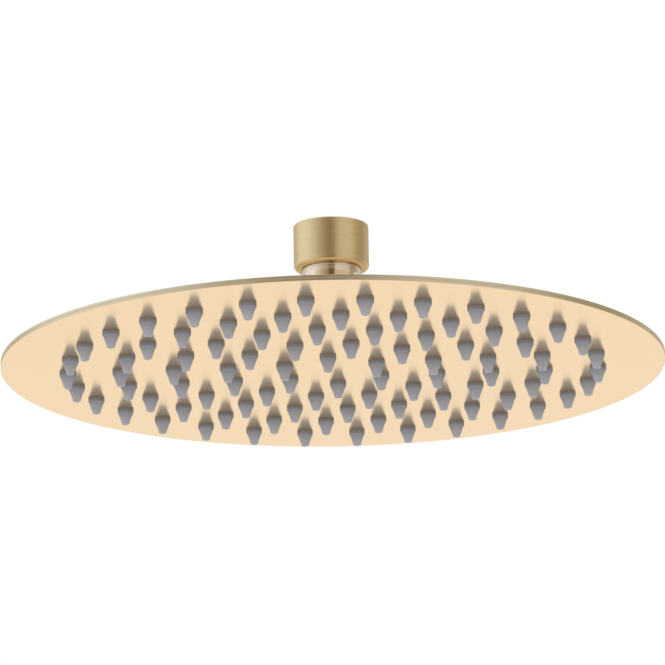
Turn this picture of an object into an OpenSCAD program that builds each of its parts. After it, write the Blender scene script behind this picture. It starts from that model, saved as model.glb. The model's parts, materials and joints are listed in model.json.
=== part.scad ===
// Thin round rain shower head on a swivelling ball joint.
// Millimetres, +Z up, nozzles facing down, as it hangs from a vertical supply arm.
// The origin is on the inlet axis, at the top end of the inlet thread's full wall,
// one mouth chamfer below the connector's top face.

/* [Plates] */
// Diameter of the head
head_d = 250; // [210:10:400]
// Thickness of each pressed sheet
sheet_t = 1; // [0.6:0.1:1.5]
// Distance from the outermost nozzle ring to the rim
edge_margin = 25; // [20:1:40]
// Chamfer round the lower edge of the face
edge_chamfer = 0.2; // [0.1:0.05:0.4]
// Free width between the outermost nozzles and the pressed step
nozzle_room = 2.9; // [1:0.1:6]
// Radial width of the pressed step inside the rim
step_w = 7; // [5:0.5:10]
// Height of the pressed step
step_h = 1.8; // [1.5:0.1:3]
// Further rise of the back from the step to its middle
crown_h = 3.2; // [2.5:0.1:8]
// Diameter of the flat seat in the middle of the back
seat_d = 56; // [46:1:80]

/* [Plate spacers] */
// Number of posts that hold the two sheets apart
spacer_count = 6; // [3:1:12]
// Diameter of a post
spacer_d = 5; // [3:0.5:6]

/* [Nozzles] */
// Nozzles in the innermost ring, and how many more each further ring has
nozzle_step = 6; // [4:1:7]
// Length of a nozzle below the face
nozzle_l = 5.7; // [4:0.1:8]
// Diameter of a nozzle's skirt
skirt_d = 6.26; // [5.4:0.02:7]
// Height of the skirt's straight wall
skirt_h = 0.95; // [0.5:0.05:1.5]
// Radius of the shoulder under the skirt
shoulder_r = 0.6; // [0.3:0.05:1]
// Diameter of a nozzle's tip
tip_d = 3; // [2.4:0.1:3.6]
// Hollow of the taper between shoulder and tip, 1 is straight
taper_power = 1.2; // [1:0.05:2]
// Radius round the edge of the tip
tip_round = 0.25; // [0.1:0.05:0.5]
// Diameter of the jet's hole in the tip
jet_d = 1.2; // [0.8:0.1:1.6]
// Length of the jet's straight hole
jet_l = 1.2; // [0.6:0.1:2]
// Diameter of the hole where the water enters a nozzle
nozzle_inlet_d = 2.4; // [1.8:0.1:2.8]
// Diameter of the holes in the face
hole_d = 4.2; // [3.6:0.1:4.8]
// Diameter of the flange that holds a nozzle from inside
flange_d = 6.2; // [5.4:0.1:7]
// Thickness of that flange
flange_t = 0.9; // [0.6:0.1:1.2]

/* [Inlet connector] */
// Outer diameter of the connector
connector_d = 28.6; // [26:0.1:36]
// Minor diameter of the inlet thread
thread_d = 18.63; // [17:0.01:19]
// Length of the inlet thread's full wall
thread_l = 8.2; // [6:0.1:14]
// Chamfer at the mouth of the thread
mouth_chamfer = 0.8; // [0.4:0.1:1.2]
// Diameter of the relief below the thread
relief_d = 21.2; // [20.6:0.1:22]
// Height of the relief, which holds the sealing washer
relief_h = 2.6; // [2.2:0.1:4]
// Thickness of the web between the inlet and the ball's socket
web_t = 1.5; // [1:0.1:3]
// Diameter of the water way through the web
web_bore_d = 12; // [9:0.5:13]
// Depth of the threaded socket for the retaining nut
socket_h = 4; // [3:0.1:6]
// Radius round the lower outer edge
lip_r = 1.5; // [0.5:0.1:2]
// Chamfer round the upper outer edge
rim_chamfer = 0.4; // [0.2:0.1:0.8]
// Chamfer at the socket's mouth
socket_chamfer = 0.9; // [0.6:0.1:1.2]

/* [Inlet washer and gauze] */
// Outer diameter of the sealing washer
washer_d = 18.5; // [17:0.1:18.5]
// Inner diameter of the sealing washer
washer_bore_d = 13; // [11:0.5:14]
// Thickness of the sealing washer
washer_t = 2.2; // [1.6:0.1:2.2]
// Thickness of the gauze
gauze_t = 0.3; // [0.2:0.1:0.4]
// Depth of the groove that holds the gauze's edge
gauze_groove = 0.7; // [0.4:0.1:1]
// Rise of the gauze's dome
gauze_rise = 0.8; // [0.4:0.1:0.8]
// Distance between the gauze's openings
gauze_pitch = 1.5; // [1.2:0.1:2]
// Width of one opening
gauze_gap = 0.9; // [0.5:0.1:1]

/* [Ball joint] */
// Diameter of the ball
ball_d = 16; // [15:0.1:16.4]
// Height of the ball's flat top above its centre
ball_flat_h = 6.7; // [6:0.1:7]
// Distance from the web down to the ball's centre
ball_drop = 8.4; // [8:0.1:9]
// Diameter of the nut's throat, which the ball can't pass
throat_d = 12.6; // [12:0.1:13.4]
// Largest tilt of the head, in degrees
tilt_max = 15; // [8:1:18]
// Gap left between neck and throat at the largest tilt
stop_gap = 0.2; // [0.1:0.05:0.5]
// Gap between faces that slide on each other
running_gap = 0.06; // [0.03:0.01:0.1]
// Gap between a threaded pair
thread_gap = 0.05; // [0.02:0.01:0.1]
// Outer diameter of the nut's threaded spigot
spigot_d = 21; // [20.4:0.1:22]
// Wall of that spigot
spigot_wall = 1.35; // [1:0.05:1.6]
// Gap between the spigot's end and the web
spigot_end_gap = 0.5; // [0.3:0.1:1]
// Outer diameter of the nut's collar
collar_d = 22.15; // [22:0.05:26]
// Height of the nut's collar
collar_h = 3; // [2:0.1:5]
// Lower diameter of the nut's taper
nut_end_d = 16.8; // [16:0.1:18]
// Length of the nut below the ball's centre
nut_drop = 5.5; // [5.3:0.1:7]
// Flare of the throat below the ball
throat_flare = 0.6; // [0.3:0.1:1]
// Height of the seat ring's lower face above the ball's centre
seat_low = 1.6; // [1:0.1:2]
// Height of the seat ring
seat_h = 3; // [2:0.1:3.5]
// Inner diameter of the ball's seal above its lip
seal_bore_d = 11.2; // [10:0.1:12]

/* [Stem and hub] */
// Diameter of the water way through ball and stem
stem_bore_d = 6; // [4:0.5:6.5]
// Distance from the ball's centre down to the hexagon
hex_drop = 9.5; // [9:0.5:16]
// Width across the hexagon's flats
hex_w = 17; // [16:1:20]
// Height of the hexagon
hex_h = 5; // [3:0.5:8]
// Diameter of the stem's threaded end
stem_thread_d = 13.16; // [12:0.01:14]
// Length of the stem's threaded end
stem_thread_l = 7.4; // [5:0.1:7.8]
// Outer diameter of the hub's neck
hub_neck_d = 22; // [20:0.5:26]
// Height of the hub above its gasket
hub_h = 12.8; // [12.5:0.1:20]
// Diameter of the hub's flange
hub_flange_d = 44; // [36:1:46]
// Thickness of the hub's flange
hub_flange_t = 2.5; // [2:0.1:3]
// Radius of the sweep between neck and flange
hub_sweep = 5; // [2:0.5:6]
// Diameter of the hub's thread through the back
hub_thread_d = 17; // [16:0.5:18]
// Gap for water between the hub's end and the face
hub_end_gap = 1.4; // [1:0.1:2]
// Diameter of the water way through the hub
hub_bore_d = 10; // [8:0.5:10.5]
// Thickness of the hub's gasket
gasket_t = 0.8; // [0.5:0.1:1.5]
// Width across the ring nut's flats
ring_nut_w = 22; // [21:0.5:24]
// Height of the ring nut
ring_nut_h = 2.4; // [1.5:0.1:2.5]
// Thickness of the stem's sealing ring
seal_cord_d = 1.6; // [1.2:0.1:1.8]

/* [Flow regulator] */
// Height of the regulator
regulator_h = 2.6; // [2.2:0.1:3]
// Thickness of the regulator's floor
regulator_floor = 0.7; // [0.5:0.1:1]
// Width of the regulator's outer wall
regulator_wall = 1.2; // [0.8:0.1:1.5]
// Diameter of the regulator's post
post_d = 3; // [2.5:0.1:3.4]
// Number of ribs on the post, and of holes in the floor
rib_count = 8; // [6:1:10]
// Height of a rib over the post
rib_h = 0.5; // [0.3:0.1:0.6]
// Diameter of a hole in the floor
orifice_d = 1.3; // [0.9:0.1:1.4]
// Thickness of the regulator's elastic ring
regulator_cord_d = 1.4; // [1:0.1:1.5]

/* [Hidden] */

// Roundness of turned parts, of nozzles and of small holes
$fn = 96;
nozzle_fn = 48;
small_fn = 32;
// Steps of a drawn curve: a small radius, the nozzle's taper, the step and the crown
arc_steps = 5;
taper_steps = 6;
step_steps = 8;
crown_steps = 14;
// How far a cut runs past the solid that it cuts
past = 1;

brass = "#cdb183";
nickel = "#c9c6c1";
silicone = "#9b9ba1";
rubber = "#2b2b2b";
resin = "#e9e6df";
steel = "#a9a9a9";

// Rings of nozzles
ring_total = 5;
head_r = head_d / 2;
ring_pitch = (head_r - edge_margin) / ring_total;

// Heights, from the mouth downwards
mouth_z = mouth_chamfer;
thread_end_z = -thread_l;
washer_seat_z = thread_end_z - relief_h;
ceiling_z = washer_seat_z - web_t;
lip_z = ceiling_z - socket_h;
ball_z = ceiling_z - ball_drop;
collar_end_z = lip_z - collar_h;
nut_end_z = ball_z - nut_drop;
hex_top_z = ball_z - hex_drop;
hub_top_z = hex_top_z - hex_h;
hub_low_z = hub_top_z - hub_h;
back_top_z = hub_low_z - gasket_t;
back_under_z = back_top_z - sheet_t;
face_top_z = back_under_z - crown_h - step_h;
face_z = face_top_z - sheet_t;
hub_end_z = face_top_z + hub_end_gap;

// Radii of the joint
ball_r = ball_d / 2;
ball_room_r = ball_r + running_gap;
throat_r = throat_d / 2;
throat_drop = sqrt(ball_room_r * ball_room_r - throat_r * throat_r);
neck_r = (throat_r - stop_gap - throat_drop * tan(tilt_max)) * cos(tilt_max);
spigot_bore_r = spigot_d / 2 - spigot_wall;
spigot_top_z = ceiling_z - spigot_end_gap;
seat_r = spigot_bore_r - running_gap;
seat_low_z = ball_z + seat_low;
seat_top_z = seat_low_z + seat_h;
nut_ledge_z = seat_low_z - running_gap;

// Radii of the back, from the rim inwards
outer_ring_r = ring_total * ring_pitch;
step_in_r = outer_ring_r + flange_d / 2 + nozzle_room;
step_out_r = step_in_r + step_w;
seat_flat_r = seat_d / 2;

// Places in the hub
socket_r = stem_thread_d / 2 + thread_gap;
stem_end_z = hub_top_z - stem_thread_l;
regulator_top_z = stem_end_z - running_gap;
regulator_z = regulator_top_z - regulator_h;
regulator_r = socket_r - running_gap;
seal_ring_r = socket_r + seal_cord_d / 2 + thread_gap;
seal_groove_r = seal_ring_r + seal_cord_d / 2 + thread_gap;

// Half a turned part's section, as [radius, height] points, spun about the Z axis
module turned(points) rotate_extrude() polygon(points);

// Points of an arc from angle a to angle b about [radius, height]
function arc(centre, r, a, b, steps = arc_steps) = [
    for (i = [0:steps]) let (t = a + (b - a) * i / steps)
        [centre[0] + r * cos(t), centre[1] + r * sin(t)]
];

// A ring of square section between two radii and two heights
module ring(inner_r, outer_r, low_z, high_z) turned([
    [inner_r, low_z], [outer_r, low_z], [outer_r, high_z], [inner_r, high_z]
]);

// A hexagonal prism with its corners turned off at both ends
module hexagon(width, low_z, high_z) {
    corner_r = width / sqrt(3);
    turn_off = (corner_r - width / 2) / 2;
    intersection() {
        translate([0, 0, low_z]) cylinder(r = corner_r, h = high_z - low_z, $fn = 6);
        turned([
            [0, low_z], [width / 2, low_z], [corner_r, low_z + turn_off],
            [corner_r, high_z - turn_off], [width / 2, high_z], [0, high_z]
        ]);
    }
}

// Rise of the back above its rim at a radius: flat, a smooth step, a crown, flat
function step_rise(r) = step_h * (1 + cos(180 * (r - step_in_r) / step_w)) / 2;
function crown_rise(r) = crown_h * (1 - pow((r - seat_flat_r) / (step_in_r - seat_flat_r), 2));
function back_rise(r) = r > step_in_r ? step_rise(r) : step_h + crown_rise(max(r, seat_flat_r));

// The back's under side from the hub's hole to the rim
function back_line() = concat(
    [[hub_thread_d / 2 + thread_gap, back_under_z]],
    [
        for (i = [0:crown_steps]) let (r = seat_flat_r + (step_in_r - seat_flat_r) * i / crown_steps)
            [r, face_top_z + back_rise(r)]
    ],
    [
        for (i = [1:step_steps]) let (r = step_in_r + step_w * i / step_steps)
            [r, face_top_z + step_rise(r)]
    ],
    [[head_r, face_top_z]]
);
function raised(points, h) = [for (p = points) [p[0], p[1] + h]];
function reversed(points) = [for (i = [len(points) - 1:-1:0]) points[i]];

// Places of the nozzles in one ring: each ring starts half a step from the X axis
module at_ring(k) {
    count = nozzle_step * k;
    for (j = [0:count - 1]) rotate(360 * (j + 0.5) / count) translate([k * ring_pitch, 0, 0]) children();
}

// Half section of a nozzle, from the jet up the outside and down the water way.
// Heights are counted from the lower side of the face.
tip_r = tip_d / 2;
skirt_r = skirt_d / 2;
taper_top_r = skirt_r - shoulder_r * (1 - cos(60));
taper_top_h = skirt_h + shoulder_r * sin(60);
taper_l = nozzle_l - tip_round - taper_top_h;
function taper_r(t) = tip_r + (taper_top_r - tip_r) * pow(1 - t, taper_power);
function nozzle_section() = concat(
    [[jet_d / 2, -nozzle_l]],
    arc([tip_r - tip_round, tip_round - nozzle_l], tip_round, -90, 0, 3),
    [
        for (i = [1:taper_steps]) let (t = 1 - i / taper_steps)
            [taper_r(t), -taper_top_h - taper_l * t]
    ],
    arc([skirt_r - shoulder_r, -skirt_h], shoulder_r, -48, 0, 4),
    [
        [skirt_r, 0], [hole_d / 2 - thread_gap, 0], [hole_d / 2 - thread_gap, sheet_t],
        [flange_d / 2, sheet_t], [flange_d / 2, sheet_t + flange_t],
        [nozzle_inlet_d / 2, sheet_t + flange_t], [jet_d / 2, jet_l - nozzle_l]
    ]
);

module nozzle_ring(k) color(silicone) translate([0, 0, face_z]) at_ring(k)
    rotate_extrude($fn = nozzle_fn) polygon(nozzle_section());

// Brass housing with the inlet thread above and the ball's socket below
module inlet_connector() color(brass) turned(concat(
    [
        [thread_d / 2 + mouth_chamfer, mouth_z], [thread_d / 2, 0], [thread_d / 2, thread_end_z],
        [relief_d / 2, thread_end_z], [relief_d / 2, washer_seat_z], [web_bore_d / 2, washer_seat_z],
        [web_bore_d / 2, ceiling_z], [spigot_d / 2 + thread_gap, ceiling_z],
        [spigot_d / 2 + thread_gap, lip_z + socket_chamfer],
        [spigot_d / 2 + thread_gap + socket_chamfer, lip_z]
    ],
    arc([connector_d / 2 - lip_r, lip_z + lip_r], lip_r, -90, 0),
    [[connector_d / 2, mouth_z - rim_chamfer], [connector_d / 2 - rim_chamfer, mouth_z]]
));

// Rubber washer that the supply arm presses on, with a groove for the gauze
washer_mid_z = washer_seat_z + washer_t / 2;
module inlet_washer() color(rubber) turned([
    [washer_bore_d / 2, washer_seat_z], [washer_d / 2, washer_seat_z],
    [washer_d / 2, washer_seat_z + washer_t], [washer_bore_d / 2, washer_seat_z + washer_t],
    [washer_bore_d / 2, washer_mid_z + gauze_t / 2],
    [washer_bore_d / 2 + gauze_groove, washer_mid_z + gauze_t / 2],
    [washer_bore_d / 2 + gauze_groove, washer_mid_z - gauze_t / 2],
    [washer_bore_d / 2, washer_mid_z - gauze_t / 2]
]);

// Woven strainer: a shallow dome with a flat edge and rows of square openings
gauze_r = washer_bore_d / 2;
function dome(r) = gauze_rise * (1 - pow(r / gauze_r, 2));
function dome_line(h) = [
    for (i = [0:arc_steps]) let (r = gauze_r * i / arc_steps) [r, washer_mid_z + dome(r) + h]
];
gauze_rows = floor(gauze_r / gauze_pitch);
module filter_gauze() color(steel) difference() {
    turned(concat(
        dome_line(-gauze_t / 2),
        [
            [gauze_r + gauze_groove - running_gap, washer_mid_z - gauze_t / 2],
            [gauze_r + gauze_groove - running_gap, washer_mid_z + gauze_t / 2]
        ],
        reversed(dome_line(gauze_t / 2))
    ));
    for (ix = [-gauze_rows:gauze_rows], iy = [-gauze_rows:gauze_rows])
        if (norm([ix, iy]) * gauze_pitch + gauze_gap * 0.75 < gauze_r - gauze_t)
            translate([ix * gauze_pitch, iy * gauze_pitch, washer_mid_z + gauze_rise / 2])
                cube([gauze_gap, gauze_gap, gauze_rise + 2 * past], center = true);
}

// Rubber seal whose lip wipes the top of the ball
module ball_seal() color(rubber) difference() {
    ring(seal_bore_d / 2, seat_r, seat_top_z + running_gap, ceiling_z);
    translate([0, 0, ball_z]) sphere(r = ball_room_r);
}

// Polished nut that screws into the connector and holds the ball from below
module retaining_nut() color(nickel) difference() {
    turned([
        [throat_r + throat_flare, nut_end_z], [nut_end_d / 2, nut_end_z],
        [collar_d / 2, collar_end_z], [collar_d / 2, lip_z],
        [spigot_d / 2, lip_z], [spigot_d / 2, spigot_top_z], [spigot_bore_r, spigot_top_z],
        [spigot_bore_r, nut_ledge_z], [ball_room_r, nut_ledge_z], [ball_room_r, ball_z],
        [throat_r, ball_z], [throat_r, ball_z - throat_drop]
    ]);
    translate([0, 0, ball_z]) sphere(r = ball_room_r);
}

// Low-friction ring that seats on the ball and turns with it
module ball_seat() color(resin) difference() {
    ring(throat_r, seat_r, seat_low_z, seat_top_z);
    translate([0, 0, ball_z]) sphere(r = ball_room_r);
}

// Ball, neck, hexagon and threaded end turned from one bar
module ball_stem() color(nickel) difference() {
    union() {
        intersection() {
            translate([0, 0, ball_z]) sphere(r = ball_r);
            translate([0, 0, ball_z - ball_r]) cylinder(r = ball_r + past, h = ball_r + ball_flat_h);
        }
        translate([0, 0, hex_top_z - past]) cylinder(r = neck_r, h = hex_drop + past);
        hexagon(hex_w, hub_top_z, hex_top_z);
        translate([0, 0, stem_end_z]) cylinder(d = stem_thread_d, h = stem_thread_l + past);
    }
    translate([0, 0, stem_end_z - past])
        cylinder(d = stem_bore_d, h = ball_z + ball_r - stem_end_z + 2 * past);
}

// Rubber ring in the groove at the top of the hub
module stem_seal() color(rubber) rotate_extrude()
    translate([seal_ring_r, hub_top_z - seal_cord_d / 2]) circle(d = seal_cord_d, $fn = small_fn);

// Flow regulator: a cup with a ribbed post and a ring of holes in its floor
channel_r = regulator_r - regulator_wall;
orifice_ring_r = post_d / 2 + rib_h + regulator_cord_d;
module flow_regulator() color(resin) difference() {
    union() {
        ring(0, regulator_r, regulator_z, regulator_z + regulator_floor);
        ring(channel_r, regulator_r, regulator_z, regulator_top_z);
        ring(0, post_d / 2, regulator_z, regulator_top_z);
        for (i = [0:rib_count - 1]) rotate(360 * i / rib_count)
            translate([0, -rib_h / 2, regulator_z])
                cube([post_d / 2 + rib_h, rib_h, regulator_h - regulator_floor / 2]);
    }
    for (i = [0:rib_count - 1]) rotate(360 * (i + 0.5) / rib_count)
        translate([orifice_ring_r, 0, regulator_z - past])
            cylinder(d = orifice_d, h = regulator_floor + 2 * past, $fn = small_fn);
}

// Elastic ring that the flow squeezes against the ribs
module regulator_ring() color(rubber) rotate_extrude()
    translate([
        post_d / 2 + rib_h + regulator_cord_d / 2 + running_gap,
        regulator_z + regulator_floor + regulator_cord_d / 2
    ]) circle(d = regulator_cord_d, $fn = small_fn);

// Brass hub: a flange on the back, a swept neck, a socket for the stem
sweep_low_z = hub_low_z + hub_flange_t;
flange_round = hub_flange_t / 4;
module hub() color(brass) turned(concat(
    [
        [hub_bore_d / 2, hub_end_z], [hub_thread_d / 2, hub_end_z], [hub_thread_d / 2, hub_low_z],
        [hub_flange_d / 2, hub_low_z]
    ],
    arc([hub_flange_d / 2 - flange_round, sweep_low_z - flange_round], flange_round, 0, 90),
    arc([hub_neck_d / 2 + hub_sweep, sweep_low_z + hub_sweep], hub_sweep, 270, 180),
    [
        [hub_neck_d / 2, hub_top_z - flange_round], [hub_neck_d / 2 - flange_round, hub_top_z],
        [seal_groove_r, hub_top_z], [seal_groove_r, hub_top_z - seal_cord_d],
        [socket_r, hub_top_z - seal_cord_d], [socket_r, regulator_z], [hub_bore_d / 2, regulator_z]
    ]
));

// Flat gasket between the hub's flange and the back
module hub_gasket() color(rubber)
    ring(hub_thread_d / 2 + thread_gap, hub_flange_d / 2 - gasket_t, back_top_z, hub_low_z);

// Thin hexagonal nut that clamps the back from inside
module hub_ring_nut() color(brass) difference() {
    hexagon(ring_nut_w, back_under_z - ring_nut_h, back_under_z);
    translate([0, 0, back_under_z - ring_nut_h - past])
        cylinder(r = hub_thread_d / 2 + thread_gap, h = ring_nut_h + 2 * past);
}

// Pressed back sheet: flat seat, shallow crown, step, and a flat rim welded to the face
module back_plate() color(brass)
    turned(concat(back_line(), reversed(raised(back_line(), sheet_t))));

// Posts between the sheets, midway between two rings of nozzles
spacer_ring_r = 3.5 * ring_pitch;
module plate_spacers() color(steel) for (i = [0:spacer_count - 1])
    rotate(360 * i / spacer_count) translate([spacer_ring_r, 0, face_top_z])
        cylinder(d = spacer_d, h = back_rise(spacer_ring_r + spacer_d / 2), $fn = small_fn);

// Flat face sheet with a hole for each nozzle
module face_plate() color(brass) difference() {
    turned([
        [0, face_z], [head_r - edge_chamfer, face_z], [head_r, face_z + edge_chamfer],
        [head_r, face_top_z], [0, face_top_z]
    ]);
    for (k = [1:ring_total]) at_ring(k) translate([0, 0, face_z - past])
        cylinder(d = hole_d, h = sheet_t + 2 * past, $fn = small_fn);
}

inlet_connector();
inlet_washer();
filter_gauze();
ball_seal();
retaining_nut();
ball_seat();
ball_stem();
stem_seal();
flow_regulator();
regulator_ring();
hub();
hub_gasket();
hub_ring_nut();
back_plate();
plate_spacers();
face_plate();
nozzle_ring(1);  // nozzle_ring_1
nozzle_ring(2);  // nozzle_ring_2
nozzle_ring(3);  // nozzle_ring_3
nozzle_ring(4);  // nozzle_ring_4
nozzle_ring(5);  // nozzle_ring_5
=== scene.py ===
# %% [markdown]
# # A round rain shower head
# This file dresses a finished construction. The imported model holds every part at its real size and
# place, in metres, with the inlet's axis along Z and the nozzles facing down. Blender adds what the
# construction leaves plain: the finish of each metal, the inlet's thread, turned grooves, woven
# wire, and the soft studio that brushed metal needs, since metal looks like whatever stands round it.

# %% Load the construction
import json
from math import acos, asin, cos, degrees, pi, radians, sin, sqrt, tan, tau

import bpy
from mathutils import Matrix, Vector


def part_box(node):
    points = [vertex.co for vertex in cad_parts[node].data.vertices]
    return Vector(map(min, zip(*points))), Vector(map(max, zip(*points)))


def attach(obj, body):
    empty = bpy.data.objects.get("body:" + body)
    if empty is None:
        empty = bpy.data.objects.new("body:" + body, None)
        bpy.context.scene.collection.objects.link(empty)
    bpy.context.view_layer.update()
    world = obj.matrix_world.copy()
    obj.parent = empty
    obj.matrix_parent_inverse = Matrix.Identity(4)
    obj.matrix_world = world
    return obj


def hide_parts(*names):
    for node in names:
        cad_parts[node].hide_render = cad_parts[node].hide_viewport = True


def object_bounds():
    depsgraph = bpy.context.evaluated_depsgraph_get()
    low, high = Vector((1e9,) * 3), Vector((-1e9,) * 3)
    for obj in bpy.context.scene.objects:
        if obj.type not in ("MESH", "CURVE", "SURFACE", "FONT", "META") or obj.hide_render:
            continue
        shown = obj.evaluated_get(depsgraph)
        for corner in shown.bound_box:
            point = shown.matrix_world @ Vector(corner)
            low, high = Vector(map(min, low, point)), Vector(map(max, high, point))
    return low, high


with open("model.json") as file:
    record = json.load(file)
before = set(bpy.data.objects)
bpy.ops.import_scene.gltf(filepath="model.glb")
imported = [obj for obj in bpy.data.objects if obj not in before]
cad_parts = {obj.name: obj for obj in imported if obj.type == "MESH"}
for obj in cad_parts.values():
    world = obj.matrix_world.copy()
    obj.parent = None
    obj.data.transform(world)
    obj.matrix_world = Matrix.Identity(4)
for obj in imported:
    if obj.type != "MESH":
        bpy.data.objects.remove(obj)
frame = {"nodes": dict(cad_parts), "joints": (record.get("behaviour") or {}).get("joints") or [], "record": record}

MM = 0.001
nodes = frame["nodes"]
record = frame["record"]
cad_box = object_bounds()
cad_span = [round(v / MM, 1) for v in cad_box[1] - cad_box[0]]
print("The construction has", len(nodes), "nodes and spans", cad_span, "mm")

# %% [markdown]
# ## The camera
# The photograph was taken from a little below the face, so that the disc shows as a flat oval and
# the connector rises behind it. The camera's place is given by a distance and two angles round the
# face, and its aim by a pitch and a roll. These and the lens were found by fitting the oval and the
# nozzles. A long lens keeps the oval nearly symmetrical.

# %% Set the camera
PHOTO_SIDE = 665
FACE_CENTRE = Vector((0, 0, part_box("face_plate")[0].z))
CAMERA_DISTANCE = 1410.94 * MM
CAMERA_AZIMUTH = radians(5.286)
CAMERA_BELOW = radians(14.461)
PITCH_UP = radians(15.041)
ROLL = radians(-0.8922)
LENS = 202.44
SENSOR = 36


def toward(azimuth, elevation):
    """A unit vector from the object: azimuth 0 is the -Y side and turns towards +X."""
    return Vector((sin(azimuth) * cos(elevation), -cos(azimuth) * cos(elevation), sin(elevation)))


bpy.ops.object.camera_add(location=FACE_CENTRE + toward(CAMERA_AZIMUTH, -CAMERA_BELOW) * CAMERA_DISTANCE)
camera = bpy.context.object
turned_to = Matrix.Rotation(CAMERA_AZIMUTH, 4, "Z") @ Matrix.Rotation(pi / 2 + PITCH_UP, 4, "X")
camera.rotation_euler = (turned_to @ Matrix.Rotation(ROLL, 4, "Z")).to_euler()
camera.data.sensor_width = SENSOR
camera.data.lens = LENS
bpy.context.scene.camera = camera
print("One pixel is", round(CAMERA_DISTANCE * SENSOR / LENS / PHOTO_SIDE / MM, 3), "mm at the face's centre")

# %% [markdown]
# ## Sums with shader nodes
# A finish is a sum of patterns, and a sum is easier to read as Python than as a chain of nodes.
# This small class wraps the output of a node. Arithmetic on it adds Math nodes, and its method
# `node` adds any other node: first its settings, then the values or links of its sockets.

# %% A value inside a material
class Value:
    """The output of a shader node, which takes part in sums like a number."""

    def __init__(self, tree, socket=None):
        self.tree = tree
        self.socket = socket

    def node(self, kind, settings=None, inputs=None, output=0):
        made = self.tree.nodes.new(kind)
        for name, setting in (settings or {}).items():
            if name == "stops":
                while len(made.color_ramp.elements) < len(setting):
                    made.color_ramp.elements.new(1)
                for element, (place, colour) in zip(made.color_ramp.elements, setting):
                    element.position = place
                    element.color = (*colour, 1)
            else:
                setattr(made, name, setting)
        for name, value in (inputs or {}).items():
            if isinstance(value, Value):
                self.tree.links.new(value.socket, made.inputs[name])
            else:
                made.inputs[name].default_value = value
        return Value(self.tree, made.outputs[output])

    def maths(self, operation, first, second=0.0):
        return self.node("ShaderNodeMath", {"operation": operation}, {0: first, 1: second})

    def __add__(self, other):
        return self.maths("ADD", self, other)

    def __radd__(self, other):
        return self.maths("ADD", other, self)

    def __sub__(self, other):
        return self.maths("SUBTRACT", self, other)

    def __rsub__(self, other):
        return self.maths("SUBTRACT", other, self)

    def __mul__(self, other):
        return self.maths("MULTIPLY", self, other)

    def __rmul__(self, other):
        return self.maths("MULTIPLY", other, self)

    def __truediv__(self, other):
        return self.maths("DIVIDE", self, other)

    def __pow__(self, other):
        return self.maths("POWER", self, other)


def mix(factor, first, second):
    """Blends two colours, each a link or a plain (red, green, blue)."""
    pair = [c if isinstance(c, Value) else (*c, 1) for c in (first, second)]
    return factor.node("ShaderNodeMix", {"data_type": "RGBA"}, {"Factor": factor, 6: pair[0], 7: pair[1]}, 2)


def ease(value, low, high):
    """Runs smoothly from 0 to 1 while the value goes from low to high, and stays there."""
    steps = {"Value": value, "From Min": low, "From Max": high}
    return value.node("ShaderNodeMapRange", {"interpolation_type": "SMOOTHSTEP"}, steps)


# %% [markdown]
# ## A pale floor and a white room
# The background is pure white, so the world is plain white with a strength of 1. The floor lies as
# far below the head as a shower tray does, so that no view from below goes under it. The face is a
# metal mirror that looks down at that floor, and a brushed sheet seen at a low angle reflects
# whiter than its own colour. The floor therefore glows in a warm cream where metal mirrors it, and
# stays matt for soft light, so that it keeps the head's shadow.

# %% World and floor
FLOOR_DROP = 2.3
FLOOR_SIDE = 80
FLOOR_MATT = (0.90, 0.90, 0.90)
FLOOR_CREAM = (0.975, 0.90, 0.775)
FLOOR_GLOW = 0.9

scene = bpy.context.scene
scene.view_settings.view_transform = "Standard"
scene.world = bpy.data.worlds.new("white_room")
scene.world.use_nodes = True
scene.world.node_tree.nodes["Background"].inputs["Color"].default_value = (1, 1, 1, 1)
scene.world.node_tree.nodes["Background"].inputs["Strength"].default_value = 1


def stage_paint(name):
    """An empty node material for the studio, its tree as a Value and the socket of its surface."""
    made = bpy.data.materials.new(name)
    made.use_nodes = True
    made.node_tree.nodes.clear()
    surface = made.node_tree.nodes.new("ShaderNodeOutputMaterial").inputs["Surface"]
    return made, Value(made.node_tree), surface


def place_on(tree):
    """The three Object coordinates of a point on the surface."""
    point = tree.node("ShaderNodeTexCoord", output=3)
    parts = tree.node("ShaderNodeSeparateXYZ", inputs={0: point})
    return [Value(tree.tree, socket) for socket in parts.socket.node.outputs]


bpy.ops.object.select_all(action="DESELECT")
bpy.ops.mesh.primitive_plane_add(size=FLOOR_SIDE, location=(0, 0, -FLOOR_DROP))
floor = bpy.context.object
floor.name = "floor"
bpy.ops.object.transform_apply()
floor_paint, tree, surface = stage_paint("floor_paint")
rays = tree.node("ShaderNodeLightPath").socket.node.outputs
camera_ray = Value(tree.tree, rays["Is Camera Ray"])
glossy_ray = Value(tree.tree, rays["Is Glossy Ray"])
matt = tree.node("ShaderNodeBsdfDiffuse", inputs={"Color": (*FLOOR_MATT, 1)})
glow = tree.node("ShaderNodeEmission", inputs={"Color": mix(glossy_ray, (1, 1, 1), FLOOR_CREAM)})
painted = tree.node(
    "ShaderNodeMixShader", inputs={0: glossy_ray + camera_ray * FLOOR_GLOW, 1: matt, 2: glow}
)
tree.tree.links.new(painted.socket, surface)
floor.data.materials.append(floor_paint)
print("The floor lies", FLOOR_DROP, "m below the inlet")

# %% [markdown]
# ## A round screen of soft light
# A flat face shows as one field of colour, but a turned part mirrors another direction with each
# strip of its wall, so it needs light and dark things round it. Lamps and cards could stand there.
# One tall round screen does the same with less: a colour ramp runs round it, bright on the left,
# pale on the right and dark behind the camera, where the room would be dark. On the far side it
# fades out just below the head, so that the face mirrors the floor there. The camera doesn't see it.

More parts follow.
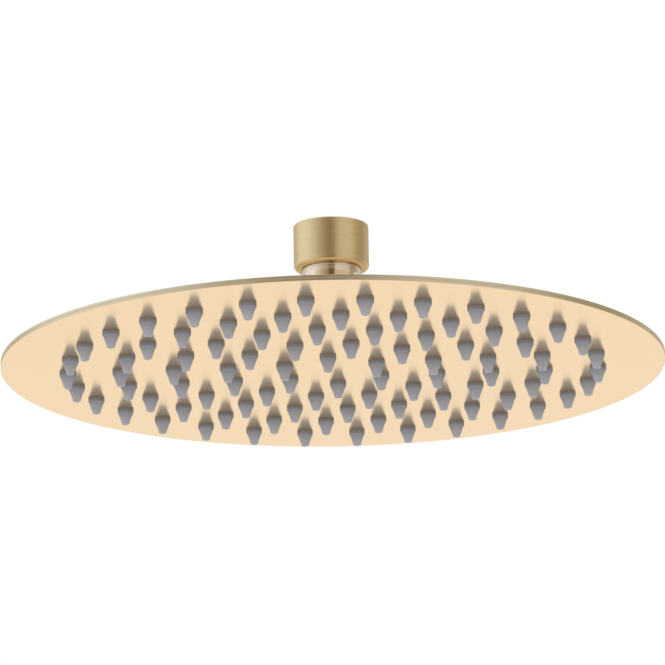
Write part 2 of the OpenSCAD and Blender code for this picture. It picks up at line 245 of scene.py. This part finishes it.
# %% Screen of soft light
SCREEN_R = 6
SCREEN_TOP = 5
FAR_EDGE = -0.1
FAR_FADE = 0.4
SCREEN_STEPS = 180
BRIGHT = (1.0, 0.99, 0.96)
PALE = (0.77, 0.72, 0.62)
OLIVE = (0.64, 0.61, 0.50)
DIM = (0.43, 0.35, 0.22)
DARK = (0.17, 0.10, 0.03)
SOFT_LEFT = (1.02, 1.02, 1.02)
SOFT_RIGHT = (0.78, 0.78, 0.78)
# Degrees round the object from the camera, to the right positive, and the colour there
SCREEN_TONES = [
    (-180, OLIVE), (-128, OLIVE), (-118, BRIGHT), (-72, BRIGHT), (-22, DIM), (-14, DIM), (-12, DARK),
    (12, DARK), (14, PALE), (68, PALE), (82, DIM), (112, DIM), (130, OLIVE), (180, OLIVE),
]

bpy.ops.object.select_all(action="DESELECT")
bpy.ops.mesh.primitive_cylinder_add(
    vertices=SCREEN_STEPS, radius=SCREEN_R, depth=SCREEN_TOP + FLOOR_DROP, end_fill_type="NOTHING",
    location=(0, 0, (SCREEN_TOP - FLOOR_DROP) / 2),
)
screen = bpy.context.object
screen.name = "soft_screen"
bpy.ops.object.transform_apply()
screen_light, tree, surface = stage_paint("screen_light")
glossy_ray = tree.node("ShaderNodeLightPath", output=3)
x, y, z = place_on(tree)
ahead = x * sin(CAMERA_AZIMUTH) - y * cos(CAMERA_AZIMUTH)
aside = x * cos(CAMERA_AZIMUTH) + y * sin(CAMERA_AZIMUTH)
turn = tree.maths("ARCTAN2", aside, ahead) / tau + 0.5
stops = [(angle / 360 + 0.5, colour) for angle, colour in SCREEN_TONES]
tones = tree.node("ShaderNodeValToRGB", {"stops": stops}, {0: turn})
behind = 1 - ease(ahead, -SCREEN_R / 2, 0.0)
under = behind * (1 - ease(z, FAR_EDGE - FAR_FADE, FAR_EDGE))
soft_light = mix(ease(aside, -SCREEN_R, SCREEN_R), SOFT_LEFT, SOFT_RIGHT)
glow = tree.node("ShaderNodeEmission", inputs={"Color": mix(glossy_ray, soft_light, tones)})
gap = tree.node("ShaderNodeBsdfTransparent")
lit = tree.node("ShaderNodeMixShader", inputs={0: under, 1: glow, 2: gap})
tree.tree.links.new(lit.socket, surface)
screen.data.materials.append(screen_light)
screen.visible_camera = False
print("The screen stands", SCREEN_R, "m away and has", len(SCREEN_TONES), "tones")

# %% [markdown]
# ## How a finish is put together
# Every finish here is one Principled shader. Two patterns cover the larger metal parts. Turned ones
# are brushed round their axis, so their lines follow the radius and the height and change only
# slowly on their way round. Sheet is brushed straight, so its lines are noise that is stretched far
# along one direction.

# %% Finish helpers
def new_finish(name):
    """A Principled material: the material, its tree as a Value and its shader."""
    made = bpy.data.materials.new(name)
    made.use_nodes = True
    return made, Value(made.node_tree), made.node_tree.nodes["Principled BSDF"]


def connect(tree, shader, **sockets):
    """Links or sets sockets, whose names are written with underscores."""
    for name, value in sockets.items():
        socket = shader.inputs[name.replace("_", " ")]
        if isinstance(value, Value):
            tree.tree.links.new(value.socket, socket)
        elif isinstance(value, tuple):
            socket.default_value = (*value, 1)
        else:
            socket.default_value = value


def radius_of(tree, x, y):
    """Distance of a point from the Z axis."""
    return tree.maths("SQRT", x * x + y * y)


def noise(tree, along, across, up, detail=2.0):
    """Soft random tones from 0 to 1, about one to a unit of each of the three coordinates."""
    point = tree.node("ShaderNodeCombineXYZ", inputs={0: along, 1: across, 2: up})
    return tree.node("ShaderNodeTexNoise", inputs={"Vector": point, "Scale": 1.0, "Detail": detail})


def bump(tree, height, depth):
    """A normal from a height pattern that runs from 0 to 1, and the depth that 1 stands for."""
    return tree.node("ShaderNodeBump", inputs={"Height": height, "Distance": depth, "Strength": 1.0})


# %% [markdown]
# ## Coated steel
# The two pressed sheets are stainless steel, brushed straight and then coated in a pale brass
# colour. The brush leaves faint streaks across the face, a little lighter and darker. The coat is
# smooth enough to mirror each nozzle softly. On the sheared rim the coat lies on rougher metal, so
# it is darker and greyer there.

# %% Coated steel
BRUSH_ANGLE = radians(67)
STREAK_WIDTH = 0.9 * MM
STREAK_LENGTH = 60 * MM
SCRATCH_WIDTH = 0.09 * MM
SCRATCH_LENGTH = 9 * MM
SCRATCH_DEPTH = 0.00012 * MM
head_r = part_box("face_plate")[1].x
RIM_BAND = 0.25 * MM


def coated_steel():
    made, tree, shader = new_finish("coated_steel")
    x, y, z = place_on(tree)
    along = x * cos(BRUSH_ANGLE) + y * sin(BRUSH_ANGLE)
    across = y * cos(BRUSH_ANGLE) - x * sin(BRUSH_ANGLE)
    streak = noise(tree, along / STREAK_LENGTH, across / STREAK_WIDTH, z / STREAK_WIDTH, 3.0)
    scratch = noise(tree, along / SCRATCH_LENGTH, across / SCRATCH_WIDTH, z / STREAK_WIDTH)
    tone = streak * 0.6 + scratch * 0.4
    rim = ease(radius_of(tree, x, y), head_r - RIM_BAND, head_r - RIM_BAND / 2)
    sheet = mix(tone, (0.90, 0.69, 0.44), (0.97, 0.78, 0.55))
    connect(
        tree, shader,
        Base_Color=mix(rim, sheet, (0.72, 0.64, 0.49)),
        Roughness=0.13 + tone * 0.08 + rim * 0.2,
        Metallic=1.0,
        Normal=bump(tree, scratch, SCRATCH_DEPTH),
    )
    return made


# %% [markdown]
# ## Brushed brass
# The connector and the hub are turned from brass bar and brushed while they spin. Light then
# spreads along the axis and stays sharp round it, which the shader's anisotropy gives on any piece
# that is turned about the Z axis. Fine lines run round the wall.

# %% Brushed brass
LINE_PITCH = 0.16 * MM
BAND_PITCH = 1.1 * MM
LINE_DEPTH = 0.0003 * MM
LINE_TURN = 6


def round_lines(tree, pitch):
    """Lines that run round the Z axis, one to a pitch, and fade in and out along their way."""
    x, y, z = place_on(tree)
    radius = radius_of(tree, x, y)
    way = tree.maths("ARCTAN2", y, x)
    swell = tree.maths("SINE", way * LINE_TURN)
    return noise(tree, radius / pitch, z / pitch, swell * 0.4)


def brushed_brass():
    made, tree, shader = new_finish("brushed_brass")
    fine = round_lines(tree, LINE_PITCH)
    broad = round_lines(tree, BAND_PITCH)
    tone = fine * 0.6 + broad * 0.4
    connect(
        tree, shader,
        Base_Color=mix(tone, (0.66, 0.52, 0.29), (0.82, 0.70, 0.46)),
        Roughness=0.19 + tone * 0.08,
        Metallic=1.0,
        Anisotropic=0.96,
        Normal=bump(tree, fine, LINE_DEPTH),
    )
    return made


# %% [markdown]
# ## Polished nickel
# The retaining nut and the ball with its stem are nickel plated and polished on the lathe. They
# mirror their surroundings more clearly than the brushed parts, with the last faint turned lines.

# %% Polished nickel
POLISH_PITCH = 0.3 * MM


def polished_nickel():
    made, tree, shader = new_finish("polished_nickel")
    lines = round_lines(tree, POLISH_PITCH)
    connect(
        tree, shader,
        Base_Color=mix(lines, (0.74, 0.70, 0.63), (0.84, 0.80, 0.74)),
        Roughness=0.09 + lines * 0.08,
        Metallic=1.0,
        Anisotropic=0.6,
        Normal=bump(tree, lines, LINE_DEPTH),
    )
    return made


# %% [markdown]
# ## Silicone, rubber, resin and wire
# The nozzles are soft grey silicone with a slightly blue cast. Limescale and handling leave it
# faintly uneven. Its colour is lighter at the tip and darker towards the root, as painted shade
# from the face over it, and follows the height. Seals are black rubber, the ball's seat and the
# regulator are white resin, and the gauze and the posts are bare steel.

# %% Soft and small finishes
FACE_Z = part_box("face_plate")[0].z
MOTTLE = 0.8 * MM
GRAIN = 0.12 * MM
GRAIN_DEPTH = 0.002 * MM
TIP_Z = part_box("nozzle_ring_1")[0].z
ROOT_SHADE_REACH = 1 * MM


def grey_silicone():
    made, tree, shader = new_finish("grey_silicone")
    x, y, z = place_on(tree)
    mottle = noise(tree, x / MOTTLE, y / MOTTLE, z / MOTTLE)
    # Painted shade: the colour darkens from the tip up to the root at the face, which shades the nozzle there
    root_shade = ease(z, TIP_Z, FACE_Z + ROOT_SHADE_REACH)
    body = mix(root_shade, (0.47, 0.49, 0.55), (0.20, 0.21, 0.24))
    connect(
        tree, shader,
        Base_Color=mix(mottle * 0.2, body, (0.30, 0.31, 0.34)),
        Roughness=0.5 + mottle * 0.12,
        Normal=bump(tree, mottle, GRAIN_DEPTH),
    )
    return made


def moulded(name, dark, light, roughness):
    """A plain moulded finish with a fine grain."""
    made, tree, shader = new_finish(name)
    x, y, z = place_on(tree)
    grain = noise(tree, x / GRAIN, y / GRAIN, z / GRAIN)
    connect(
        tree, shader,
        Base_Color=mix(grain, dark, light),
        Roughness=roughness + grain * 0.1,
        Normal=bump(tree, grain, GRAIN_DEPTH),
    )
    return made


def bare_steel():
    made, tree, shader = new_finish("bare_steel")
    x, y, z = place_on(tree)
    grain = noise(tree, x / GRAIN, y / GRAIN, z / MOTTLE)
    connect(
        tree, shader,
        Base_Color=mix(grain, (0.46, 0.46, 0.45), (0.62, 0.62, 0.61)),
        Roughness=0.24 + grain * 0.12,
        Metallic=1.0,
    )
    return made


finishes = {
    "coated_steel": coated_steel(),
    "brushed_brass": brushed_brass(),
    "polished_nickel": polished_nickel(),
    "grey_silicone": grey_silicone(),
    "black_rubber": moulded("black_rubber", (0.015, 0.015, 0.016), (0.03, 0.03, 0.032), 0.5),
    "white_resin": moulded("white_resin", (0.76, 0.74, 0.69), (0.84, 0.82, 0.77), 0.35),
    "steel_mesh": bare_steel(),
}
for part in record["subparts"]:
    cad = nodes[part["node"]]
    cad.data.materials.clear()
    cad.data.materials.append(finishes[part["material_slot"]])
print("Finishes:", ", ".join(finishes))

# %% [markdown]
# ## Working as on a lathe
# Most of this object is turned. A turned piece could start from a cylinder that is inset and
# extruded ring by ring. It is quicker to draw half of its section, as a turner draws it, and spin
# that once round the axis. The line is drawn by extruding one corner from point to point.

# %% Lathe helpers
TURN_STEPS = 128
WELD = 0.002 * MM


def start_from(add, name, **placing):
    """Adds one of Blender's own shapes, and opens it for editing with nothing selected."""
    bpy.ops.object.select_all(action="DESELECT")
    add(**placing)
    piece = bpy.context.object
    piece.name = name
    piece.data.name = name
    bpy.ops.object.mode_set(mode="EDIT")
    bpy.ops.mesh.select_mode(type="VERT")
    bpy.ops.mesh.select_all(action="DESELECT")
    return piece


def close_up():
    """Welds the edited mesh, turns its faces outwards and puts its place in the mesh."""
    bpy.ops.mesh.select_all(action="SELECT")
    bpy.ops.mesh.remove_doubles(threshold=WELD)
    bpy.ops.mesh.normals_make_consistent(inside=False)
    bpy.ops.object.mode_set(mode="OBJECT")
    bpy.ops.object.transform_apply()


def draw(name, outline):
    """Draws a closed outline of (radius, height) points in the XZ plane, and leaves it open to edit."""
    piece = start_from(
        bpy.ops.mesh.primitive_plane_add, name, size=MM, location=(outline[0][0], 0, outline[0][1])
    )
    bpy.ops.mesh.select_all(action="SELECT")
    bpy.ops.mesh.merge(type="CENTER")
    for here, there in zip(outline, outline[1:] + outline[:1]):
        step = (there[0] - here[0], 0, there[1] - here[1])
        bpy.ops.mesh.extrude_region_move(TRANSFORM_OT_translate={"value": step})
    return piece


def lathe(name, outline, steps=TURN_STEPS):
    """Spins a closed outline of (radius, height) points round the Z axis."""
    piece = draw(name, outline)
    bpy.ops.mesh.select_all(action="SELECT")
    bpy.ops.mesh.spin(steps=steps, angle=tau, center=(0, 0, 0), axis=(0, 0, 1))
    close_up()
    return piece


def arc(centre, radius, first, last, steps=6):
    """Points of an arc about (radius, height), from one angle to another in degrees."""
    angles = [radians(first + (last - first) * i / steps) for i in range(steps + 1)]
    return [(centre[0] + radius * cos(a), centre[1] + radius * sin(a)) for a in angles]


def use(piece):
    """Makes one object the only selected and active one."""
    bpy.ops.object.select_all(action="DESELECT")
    piece.select_set(True)
    bpy.context.view_layer.objects.active = piece


def modify(piece, kind, **settings):
    """Adds a modifier and applies it."""
    use(piece)
    modifier = piece.modifiers.new(kind.lower(), kind)
    for name, value in settings.items():
        setattr(modifier, name, value)
    bpy.ops.object.modifier_apply(modifier=modifier.name)


def soften(piece, width, segments=2):
    """Rounds every sharp edge, as a light rub with fine paper does."""
    modify(piece, "BEVEL", width=width, segments=segments, limit_method="ANGLE", angle_limit=radians(35))


def cut(piece, cutter):
    """Takes the cutter's form out of the piece and deletes the cutter."""
    modify(piece, "BOOLEAN", operation="DIFFERENCE", solver="EXACT", object=cutter)
    bpy.data.objects.remove(cutter)


def hand_over(piece, slot_name, body, *replaced, smooth=radians(35)):
    """Shades the piece, gives it its finish and puts it in the place of its CAD nodes."""
    use(piece)
    bpy.ops.object.shade_smooth_by_angle(angle=smooth)
    modify(piece, "WEIGHTED_NORMAL", keep_sharp=True, weight=100)
    piece.data.materials.clear()
    piece.data.materials.append(finishes[slot_name])
    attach(piece, body)
    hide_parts(*replaced)
    print(piece.name, "has", len(piece.data.polygons), "faces")


# %% [markdown]
# ## The inlet connector
# A short brass housing. Its lower end is a socket for the retaining nut, a web with a water way
# crosses its middle, and its mouth has the female pipe thread that screws on to the supply arm.
# The body is a lathe piece. Its bore is turned out to the root of the thread, with a short plain
# lead under the mouth, and the thread itself follows in the next step.

# %% Turn the connector
PITCH = 25.4 * MM / 14
ROOT_R = 20.955 * MM / 2
LEAD = 0.4 * MM
RUN_OUT = 0.3 * MM
inlet = record["mounts"][0]["dims"]
bore_r = inlet["r_mm"] * MM
thread_low = -inlet["length_mm"] * MM
housing_low, housing_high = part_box("inlet_connector")
housing_r = housing_high.x
washer_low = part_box("inlet_washer")[0].z
web_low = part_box("ball_seal")[1].z
MOUTH_CHAMFER = housing_high.z
RELIEF_R = 10.6 * MM
WEB_BORE_R = 6 * MM
SOCKET_R = 10.55 * MM
SOCKET_CHAMFER = 0.9 * MM
LIP_R = 1.5 * MM
TOP_CHAMFER = 0.4 * MM
EDGE_ROUND = 0.1 * MM

connector = lathe("threaded_connector", [
    (bore_r + MOUTH_CHAMFER, housing_high.z), (bore_r, 0), (bore_r, -LEAD), (ROOT_R, -LEAD),
    (ROOT_R, thread_low + RUN_OUT), (RELIEF_R, thread_low), (RELIEF_R, washer_low),
    (WEB_BORE_R, washer_low), (WEB_BORE_R, web_low), (SOCKET_R, web_low),
    (SOCKET_R, housing_low.z + SOCKET_CHAMFER), (SOCKET_R + SOCKET_CHAMFER, housing_low.z),
    *arc((housing_r - LIP_R, housing_low.z + LIP_R), LIP_R, -90, 0),
    (housing_r, housing_high.z - TOP_CHAMFER), (housing_r - TOP_CHAMFER, housing_high.z),
])
soften(connector, EDGE_ROUND)

# %% [markdown]
# A tap cuts a groove into the bore and leaves a ridge that winds up it. A Boolean with a tap's form
# could do the same, but on such a fine helix it didn't give the same mesh on each run. The ridge is
# therefore made directly: a closed profile is wound up a helix by a Screw modifier, its two ends
# are filled, and its foot is sunk a little into the wall. The pipe thread has 14 turns to the inch
# and flanks at 27.5 degrees to the cross section.

# %% Wind the inlet thread
FLANK_ANGLE = radians(27.5)
RIDGE_W = 0.9 * PITCH
SINK = 0.05 * MM
RIDGE_STEPS = 64


def thread_ridge():
    """The ridge between the grooves of the thread, as a closed strip with flat ends."""
    foot_r = ROOT_R + SINK
    flank = (foot_r - bore_r) * tan(FLANK_ANGLE)
    turns = (-LEAD - thread_low - RUN_OUT - RIDGE_W) / PITCH
    low = thread_low + RUN_OUT
    piece = draw("thread_ridge", [
        (foot_r, low), (bore_r, low + flank), (bore_r, low + RIDGE_W - flank), (foot_r, low + RIDGE_W),
    ])
    close_up()
    modify(
        piece, "SCREW", axis="Z", angle=tau * turns, screw_offset=PITCH * turns,
        steps=round(RIDGE_STEPS * turns), render_steps=round(RIDGE_STEPS * turns),
    )
    bpy.ops.object.mode_set(mode="EDIT")
    bpy.ops.mesh.select_all(action="SELECT")
    bpy.ops.mesh.fill_holes(sides=0)
    close_up()
    print("The thread has", round(turns, 2), "turns and", len(piece.data.polygons), "faces")
    return piece


ridge = thread_ridge()
use(connector)
ridge.select_set(True)
bpy.ops.object.join()
hand_over(connector, "brushed_brass", "connector", "inlet_connector")

# %% [markdown]
# ## The retaining nut
# A polished nut holds the ball from below. Only its collar and the taper under it show. Three fine
# grooves run round the collar, left there so that wet fingers can grip it.

# %% Turn the nut
nut_low, nut_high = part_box("retaining_nut")
collar_r = nut_high.x
seat_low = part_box("ball_seat")[0].z
seat_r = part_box("ball_seat")[1].x
ball_z = frame["joints"][0]["pos_m"][2]
BALL_ROOM_R = 8.06 * MM
THROAT_R = 6.3 * MM
THROAT_FLARE = 0.6 * MM
SPIGOT_R = 10.5 * MM
NUT_END_R = 8.4 * MM
COLLAR_H = 3 * MM
RUNNING_GAP = 0.06 * MM
GROOVES = 3
GROOVE_W = 0.26 * MM
GROOVE_D = 0.13 * MM


def grooved(radius, low, high):
    """Points of a wall from low to high with evenly spaced V grooves."""
    pitch = (high - low) / (GROOVES + 1)
    points = [(radius, low)]
    for i in range(1, GROOVES + 1):
        middle = low + pitch * i
        points += [(radius, middle - GROOVE_W / 2), (radius - GROOVE_D, middle)]
        points += [(radius, middle + GROOVE_W / 2)]
    return points + [(radius, high)]


# The ball's room runs from the step under the seat down to the throat
room_top = seat_low - RUNNING_GAP
first_angle = degrees(asin((room_top - ball_z) / BALL_ROOM_R))
last_angle = -degrees(acos(THROAT_R / BALL_ROOM_R))
print("The ball's room spans", round(first_angle, 2), "to", round(last_angle, 2), "degrees")
nut = lathe("grooved_nut", [
    (THROAT_R + THROAT_FLARE, nut_low.z), (NUT_END_R, nut_low.z),
    *grooved(collar_r, housing_low.z - COLLAR_H, housing_low.z),
    (SPIGOT_R, housing_low.z), (SPIGOT_R, nut_high.z), (seat_r + RUNNING_GAP, nut_high.z),
    (seat_r + RUNNING_GAP, room_top),
    *arc((0, ball_z), BALL_ROOM_R, first_angle, last_angle),
])
soften(nut, EDGE_ROUND / 2)
hand_over(nut, "polished_nickel", "connector", "retaining_nut")

# %% [markdown]
# ## The woven gauze
# A strainer of woven wire keeps grit out of the nozzles. Each wire passes over one crossing wire
# and under the next. One wavy wire is extruded step by step from a small ring, to the length that
# the disc has at its place, so that no wire needs to be trimmed. A second cloth that goes over where
# the first goes under is turned a quarter round and joined to it. The whole is pressed into a
# shallow dome, whose edge sits in the washer's groove.

# %% Weave the gauze
gauze_low, gauze_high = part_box("filter_gauze")
gauze_r = gauze_high.x
WIRE_R = 0.12 * MM
WIRE_SIDES = 6
WIRE_PITCH = 0.9 * MM
GAUZE_MID = gauze_low.z + 0.15 * MM
DOME_RISE = 0.8 * MM
DOME_EDGE = 0.64 * MM
wire_reach = gauze_r - WIRE_R
wire_rows = int(wire_reach / WIRE_PITCH)


def wire(name, side, over):
    """A wire along X at one side, which goes over (1) or under (-1) the crossing at x = 0."""
    half_steps = int(sqrt(wire_reach**2 - side**2) / (WIRE_PITCH / 2))
    lifts = [over * WIRE_R * cos(pi * k / 2) for k in range(-half_steps, half_steps + 1)]
    piece = start_from(
        bpy.ops.mesh.primitive_circle_add, name, vertices=WIRE_SIDES, radius=WIRE_R, fill_type="NGON",
        location=(-half_steps * WIRE_PITCH / 2, side, GAUZE_MID + lifts[0]), rotation=(0, pi / 2, 0),
    )
    bpy.ops.object.mode_set(mode="OBJECT")
    bpy.ops.object.transform_apply()
    bpy.ops.object.mode_set(mode="EDIT")
    bpy.ops.mesh.select_all(action="SELECT")
    for here, there in zip(lifts, lifts[1:]):
        step = (WIRE_PITCH / 2, 0, there - here)
        bpy.ops.mesh.extrude_region_move(TRANSFORM_OT_translate={"value": step})
    close_up()
    return piece


def cloth(name, over):
    """Wires side by side, over and under in turn."""
    rows = range(-wire_rows, wire_rows + 1)
    wires = [wire(name, i * WIRE_PITCH, over if i % 2 == 0 else -over) for i in rows]
    use(wires[0])
    for other in wires[1:]:
        other.select_set(True)
    bpy.ops.object.join()
    return wires[0]


gauze = cloth("woven_gauze", 1)
weft = cloth("weft", -1)
use(weft)
bpy.ops.transform.rotate(value=pi / 2, orient_axis="Z", center_override=(0, 0, 0))
bpy.ops.object.transform_apply()
use(gauze)
weft.select_set(True)
bpy.ops.object.join()
for corner in gauze.data.vertices:
    corner.co.z += DOME_RISE * max(0, 1 - (corner.co.xy.length / (gauze_r - DOME_EDGE)) ** 2)
print("The gauze has", 2 * (2 * wire_rows + 1), "wires")
hand_over(gauze, "steel_mesh", "connector", "filter_gauze", smooth=radians(60))

# %% [markdown]
# ## The back sheet
# The back is pressed from thin sheet: a flat seat for the hub, a shallow crown, a smooth step and
# a flat rim that is welded to the face. The crown is a parabola and the step half a cosine, so the
# section is drawn by two formulas. A finely divided section keeps the mirror images smooth.

# %% Turn the back sheet
back_low, back_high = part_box("back_plate")
SHEET = 1 * MM
HUB_HOLE_R = 8.55 * MM
SEAT_FLAT_R = 28 * MM
STEP_IN_R = 106 * MM
STEP_OUT_R = 113 * MM
STEP_H = 1.8 * MM
CROWN_STEPS = 30
STEP_STEPS = 14
crown_h = back_high.z - back_low.z - SHEET - STEP_H


def rise(radius):
    """Height of the sheet's under side over its rim."""
    if radius <= STEP_IN_R:
        out = max(0, radius - SEAT_FLAT_R) / (STEP_IN_R - SEAT_FLAT_R)
        return STEP_H + crown_h * (1 - out**2)
    return STEP_H * (1 + cos(pi * min(1, (radius - STEP_IN_R) / (STEP_OUT_R - STEP_IN_R)))) / 2


radii = [HUB_HOLE_R]
radii += [SEAT_FLAT_R + (STEP_IN_R - SEAT_FLAT_R) * i / CROWN_STEPS for i in range(CROWN_STEPS + 1)]
radii += [STEP_IN_R + (STEP_OUT_R - STEP_IN_R) * i / STEP_STEPS for i in range(1, STEP_STEPS + 1)]
radii += [head_r]
under_side = [(radius, back_low.z + rise(radius)) for radius in radii]
upper_side = [(radius, height + SHEET) for radius, height in under_side]
back = lathe("pressed_back", under_side + upper_side[::-1], 2 * TURN_STEPS)
soften(back, EDGE_ROUND)
hand_over(back, "coated_steel", "head", "back_plate", smooth=radians(50))

# %% [markdown]
# ## The face
# The face is a flat disc with ninety punched holes. It starts as a cylinder of the sheet's
# thickness, its edges are rounded a little, and a gang of punches goes through it: one rod for each
# ring is duplicated round the axis by a spin.

# %% Punch the face
face_low, face_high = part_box("face_plate")
RINGS = 5
NOZZLE_STEP = 6
RING_PITCH = 20 * MM
HOLE_R = 2.1 * MM
PUNCH_STEPS = 32
FACE_CHAMFER = 0.2 * MM


def all_round(k):
    """Copies the selected form round the axis, once for each nozzle of ring k, starting half a step on."""
    count = NOZZLE_STEP * k
    turned = -tau / count / 2
    bpy.ops.transform.rotate(value=turned, orient_axis="Z", center_override=(0, 0, 0))
    bpy.ops.mesh.spin(
        steps=count - 1, dupli=True, angle=tau * (count - 1) / count, center=(0, 0, 0), axis=(0, 0, 1)
    )


def punches():
    piece = start_from(
        bpy.ops.mesh.primitive_cylinder_add, "punches", vertices=PUNCH_STEPS, radius=HOLE_R,
        depth=3 * SHEET, location=(RING_PITCH, 0, (face_low.z + face_high.z) / 2),
    )
    bpy.ops.mesh.select_all(action="SELECT")
    all_round(1)
    for k in range(2, RINGS + 1):
        bpy.ops.mesh.select_all(action="DESELECT")
        bpy.ops.mesh.primitive_cylinder_add(
            vertices=PUNCH_STEPS, radius=HOLE_R, depth=3 * SHEET,
            location=(k * RING_PITCH, 0, (face_low.z + face_high.z) / 2),
        )
        all_round(k)
    close_up()
    return piece


face = start_from(
    bpy.ops.mesh.primitive_cylinder_add, "punched_face", vertices=2 * TURN_STEPS, radius=head_r,
    depth=face_high.z - face_low.z, location=(0, 0, (face_low.z + face_high.z) / 2),
)
close_up()
soften(face, FACE_CHAMFER)
cut(face, punches())
hand_over(face, "coated_steel", "head", "face_plate")

# %% [markdown]
# ## The nozzles
# Ninety soft nozzles are pushed through the face from behind. Each has a short skirt that hides
# its hole, a round shoulder and a slightly hollow taper down to the jet. One nozzle of each ring is
# turned, moved out to its ring and copied round.

# %% Mould the nozzles
nozzle_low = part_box("nozzle_ring_1")[0].z
nozzle_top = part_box("nozzle_ring_1")[1].z
NOZZLE_STEPS = 32
JET_R = 0.6 * MM
JET_L = 1.2 * MM
JET_FLARE = 0.12 * MM
TIP_R = 1.5 * MM
TIP_ROUND = 0.25 * MM
SKIRT_R = 3.13 * MM
SKIRT_H = 0.95 * MM
SHOULDER_R = 0.6 * MM
SHOULDER_TURN = 60
TAPER_POWER = 1.2
TAPER_STEPS = 6
NECK_R = 2.05 * MM
FLANGE_R = 3.1 * MM
INLET_R = 1.2 * MM


def nozzle_outline():
    """Half section of a nozzle, from its jet up the outside and back down the water way."""
    top_r = SKIRT_R - SHOULDER_R * (1 - cos(radians(SHOULDER_TURN)))
    top_z = face_low.z - SKIRT_H - SHOULDER_R * sin(radians(SHOULDER_TURN))
    low_z = nozzle_low + TIP_ROUND
    taper = []
    for i in range(1, TAPER_STEPS):
        t = i / TAPER_STEPS
        taper.append((TIP_R + (top_r - TIP_R) * t**TAPER_POWER, low_z + (top_z - low_z) * t))
    return [
        (JET_R + JET_FLARE, nozzle_low),
        *arc((TIP_R - TIP_ROUND, nozzle_low + TIP_ROUND), TIP_ROUND, -90, 0, 4),
        *taper,
        *arc((SKIRT_R - SHOULDER_R, face_low.z - SKIRT_H), SHOULDER_R, -SHOULDER_TURN, 0, 4),
        (SKIRT_R, face_low.z), (NECK_R, face_low.z), (NECK_R, face_high.z), (FLANGE_R, face_high.z),
        (FLANGE_R, nozzle_top), (INLET_R, nozzle_top), (JET_R, nozzle_low + JET_L),
        (JET_R, nozzle_low + JET_FLARE),
    ]


for k in range(1, RINGS + 1):
    ring = lathe(f"nozzles_of_ring_{k}", nozzle_outline(), NOZZLE_STEPS)
    bpy.ops.object.mode_set(mode="EDIT")
    bpy.ops.mesh.select_all(action="SELECT")
    bpy.ops.transform.translate(value=(k * RING_PITCH, 0, 0))
    all_round(k)
    bpy.ops.object.mode_set(mode="OBJECT")
    hand_over(ring, "grey_silicone", "head", f"nozzle_ring_{k}", smooth=radians(40))
